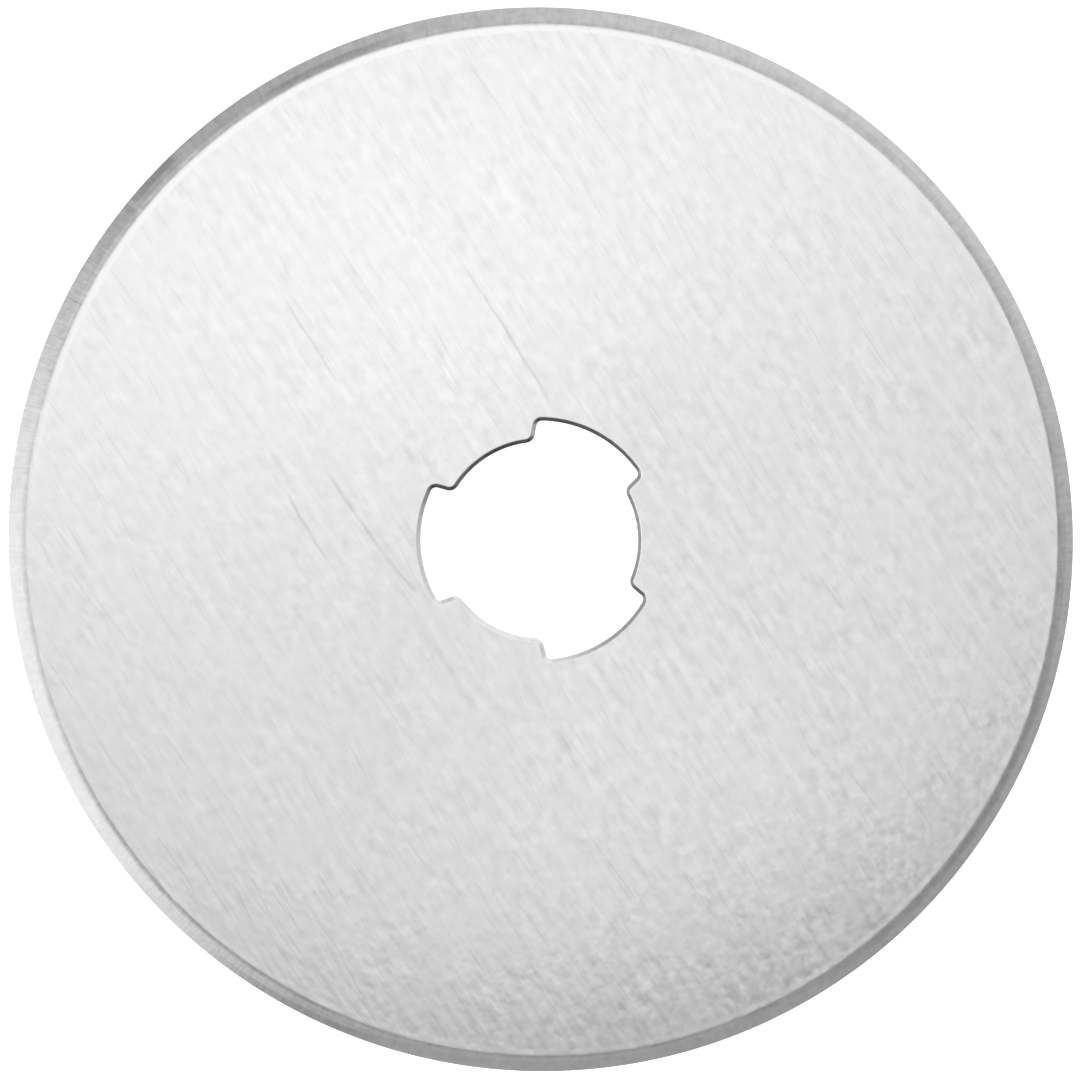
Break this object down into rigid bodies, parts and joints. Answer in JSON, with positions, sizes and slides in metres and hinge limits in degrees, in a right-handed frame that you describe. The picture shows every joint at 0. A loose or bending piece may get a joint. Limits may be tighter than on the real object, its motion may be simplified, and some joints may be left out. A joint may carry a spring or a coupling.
{
  "type": "rotary cutter blade",
  "caption": "Thin round steel blade, double bevelled to a circular cutting edge, with a three-lobed centre hole that keys onto a rotary cutter's hub.",
  "frame": {"origin": "centre of the disc: on the axis that the blade turns on, in the plane of the cutting edge", "axes": "+Z along the turning axis, out of the face whose hole edge is rolled over by the punch; -X through the middle of one lobe of the hole"},
  "size_m": [0.045, 0.045, 0.0004],
  "materials": {
    "blade_steel": "satin face with fine straight brushing in one direction and a few hairline scratches; ground bevel, smoother, with fine marks running out to the edge; bright rolled edge round the hole"
  },
  "bodies": {
    "root": {"blade": "blade_steel"}
  },
  "joints": []
}
